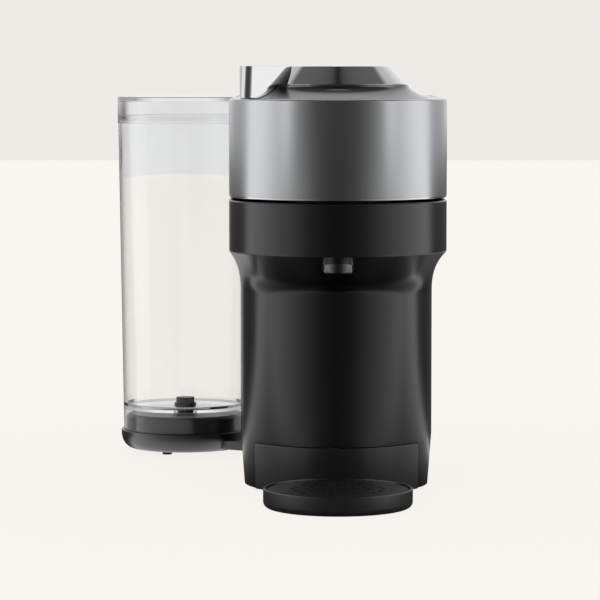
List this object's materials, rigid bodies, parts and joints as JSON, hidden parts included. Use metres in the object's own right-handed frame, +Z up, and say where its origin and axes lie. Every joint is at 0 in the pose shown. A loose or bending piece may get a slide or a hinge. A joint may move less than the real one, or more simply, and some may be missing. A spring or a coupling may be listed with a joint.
{
  "type": "pod coffee machine",
  "caption": "Counter-top pod coffee machine with a hinged lid and turning lock lever, a pull-out drip base and a clear water tank on a swinging arm.",
  "frame": {"origin": "on the counter straight below the coffee outlet, at the centre of the drip base's flat underside", "axes": "+Z up, -Y towards the front of the machine, +X to the right as seen from the front"},
  "size_m": [0.2269, 0.3926, 0.2817],
  "materials": {
    "black_gloss": "gloss moulded",
    "silver": "metallic silver lacquer, satin",
    "collar_dark": "dark metallic, satin",
    "chrome": "polished",
    "black_matte": "fine grain",
    "plinth_grey": "satin moulded",
    "holder_grey": "satin moulded",
    "steel": "machined",
    "alloy": "satin",
    "rubber": "matt moulded",
    "clear": "clear polished",
    "board_green": "solder resist",
    "light_white": "frosted",
    "hose_clear": "milky silicone",
    "meter_white": "moulded"
  },
  "bodies": {
    "housing": {"column_front": "black_gloss", "column_rear": "black_gloss", "head_band": "black_gloss", "rear_cover": "silver", "base_plate": "black_matte", "body_feet": "rubber", "base_screws": "steel", "inner_deck": "black_matte", "water_pump": "steel", "pump_mounts": "rubber", "water_heater": "alloy", "flow_meter": "meter_white", "control_board": "board_green", "power_board": "board_green", "water_hoses": "hose_clear", "drive_motor": "steel", "motor_bracket": "steel", "drive_belt": "rubber", "rotor_bearing": "steel", "coffee_collector": "black_matte", "coffee_spout": "black_matte", "hinge_pin": "steel", "cord_gland": "black_matte"},
    "lid": {"lid_shell": "silver", "lid_lip": "chrome", "lid_liner": "black_matte", "lid_collar": "collar_dark", "injection_housing": "black_matte", "injection_bearing": "steel", "code_reader": "black_matte", "button_tower": "black_matte", "button_light": "light_white", "button_board": "board_green", "button_spring": "steel", "lid_hose": "hose_clear"},
    "lever": {"lock_knob": "chrome", "lock_lever": "chrome", "lock_ring": "steel"},
    "button": {"start_button": "alloy"},
    "injector": {"injection_plate": "holder_grey", "piercing_needles": "steel", "capsule_seal": "rubber"},
    "rotor": {"capsule_holder": "holder_grey", "rotor_pulley": "alloy"},
    "motor_rotor": {"motor_pulley": "steel"},
    "drawer": {"drip_base": "black_matte"},
    "grid": {"cup_grid": "black_matte"},
    "arm": {"tank_arm": "black_matte", "tank_plinth": "plinth_grey", "tank_coupling": "rubber", "arm_feet": "rubber"},
    "tank": {"water_tank": "clear", "tank_valve": "black_matte", "valve_seal": "rubber"},
    "tank_lid": {"tank_lid": "clear"}
  },
  "joints": [
    {"name": "lid_hinge", "type": "hinge", "parent": "housing", "child": "lid", "pos_m": [0, 0.11, 0.2555], "axis": [-1, 0, 0], "range_deg": [0, 55]},
    {"name": "lever_turn", "type": "hinge", "parent": "lid", "child": "lever", "pos_m": [0, 0.023, 0.275], "axis": [0, 0, 1], "range_deg": [0, 60]},
    {"name": "button_press", "type": "slide", "parent": "lid", "child": "button", "axis": [0, 0, -1], "range_m": [0, 0.0012], "stiffness_N_per_m": 600, "springref_m": -0.0004, "deforming": ["button_spring"]},
    {"name": "injector_spin", "type": "hinge", "parent": "lid", "child": "injector", "pos_m": [0, 0.023, 0.2], "axis": [0, 0, 1], "continuous": true},
    {"name": "rotor_spin", "type": "hinge", "parent": "housing", "child": "rotor", "pos_m": [0, 0.023, 0.18], "axis": [0, 0, 1], "continuous": true},
    {"name": "motor_spin", "type": "hinge", "parent": "housing", "child": "motor_rotor", "pos_m": [0, 0.095, 0.15], "axis": [0, 0, 1], "continuous": true},
    {"name": "drawer_slide", "type": "slide", "parent": "housing", "child": "drawer", "axis": [0, -1, 0], "range_m": [0, 0.1]},
    {"name": "grid_lift", "type": "slide", "parent": "drawer", "child": "grid", "axis": [0, 0, 1], "range_m": [0, 0.04]},
    {"name": "arm_swing", "type": "hinge", "parent": "housing", "child": "arm", "pos_m": [0, 0.228, 0.009], "axis": [0, 0, -1], "range_deg": [0, 115.7]},
    {"name": "tank_lift", "type": "slide", "parent": "arm", "child": "tank", "axis": [0, 0, 1], "range_m": [0, 0.06]},
    {"name": "tank_lid_lift", "type": "slide", "parent": "tank", "child": "tank_lid", "axis": [0, 0, 1], "range_m": [0, 0.04]}
  ],
  "couplings": [
    {"joint": "motor_spin", "follows": "rotor_spin", "ratio": 1.3628}
  ]
}
